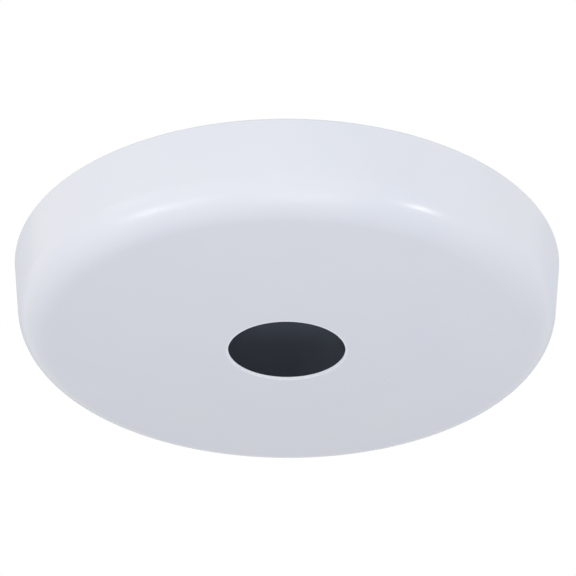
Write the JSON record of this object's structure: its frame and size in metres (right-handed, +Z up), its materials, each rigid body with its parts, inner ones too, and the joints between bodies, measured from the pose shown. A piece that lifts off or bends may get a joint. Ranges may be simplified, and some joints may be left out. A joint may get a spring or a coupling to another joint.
{
  "type": "ceiling canopy",
  "caption": "Shallow round sheet-metal canopy that covers a ceiling box above a pendant light, with a plain centre hole for a collar or strain relief.",
  "frame": {"origin": "centre of the outside of the face, on the axis of the centre hole", "axes": "+Z up along the axis of the pan, from the face towards the ceiling; +X and +Y are any two level directions, because the part is round"},
  "size_m": [0.127, 0.127, 0.019],
  "materials": {
    "white_paint": "semi-gloss white powder coat on drawn steel sheet"
  },
  "bodies": {
    "root": {"canopy_shell": "white_paint"}
  },
  "joints": []
}
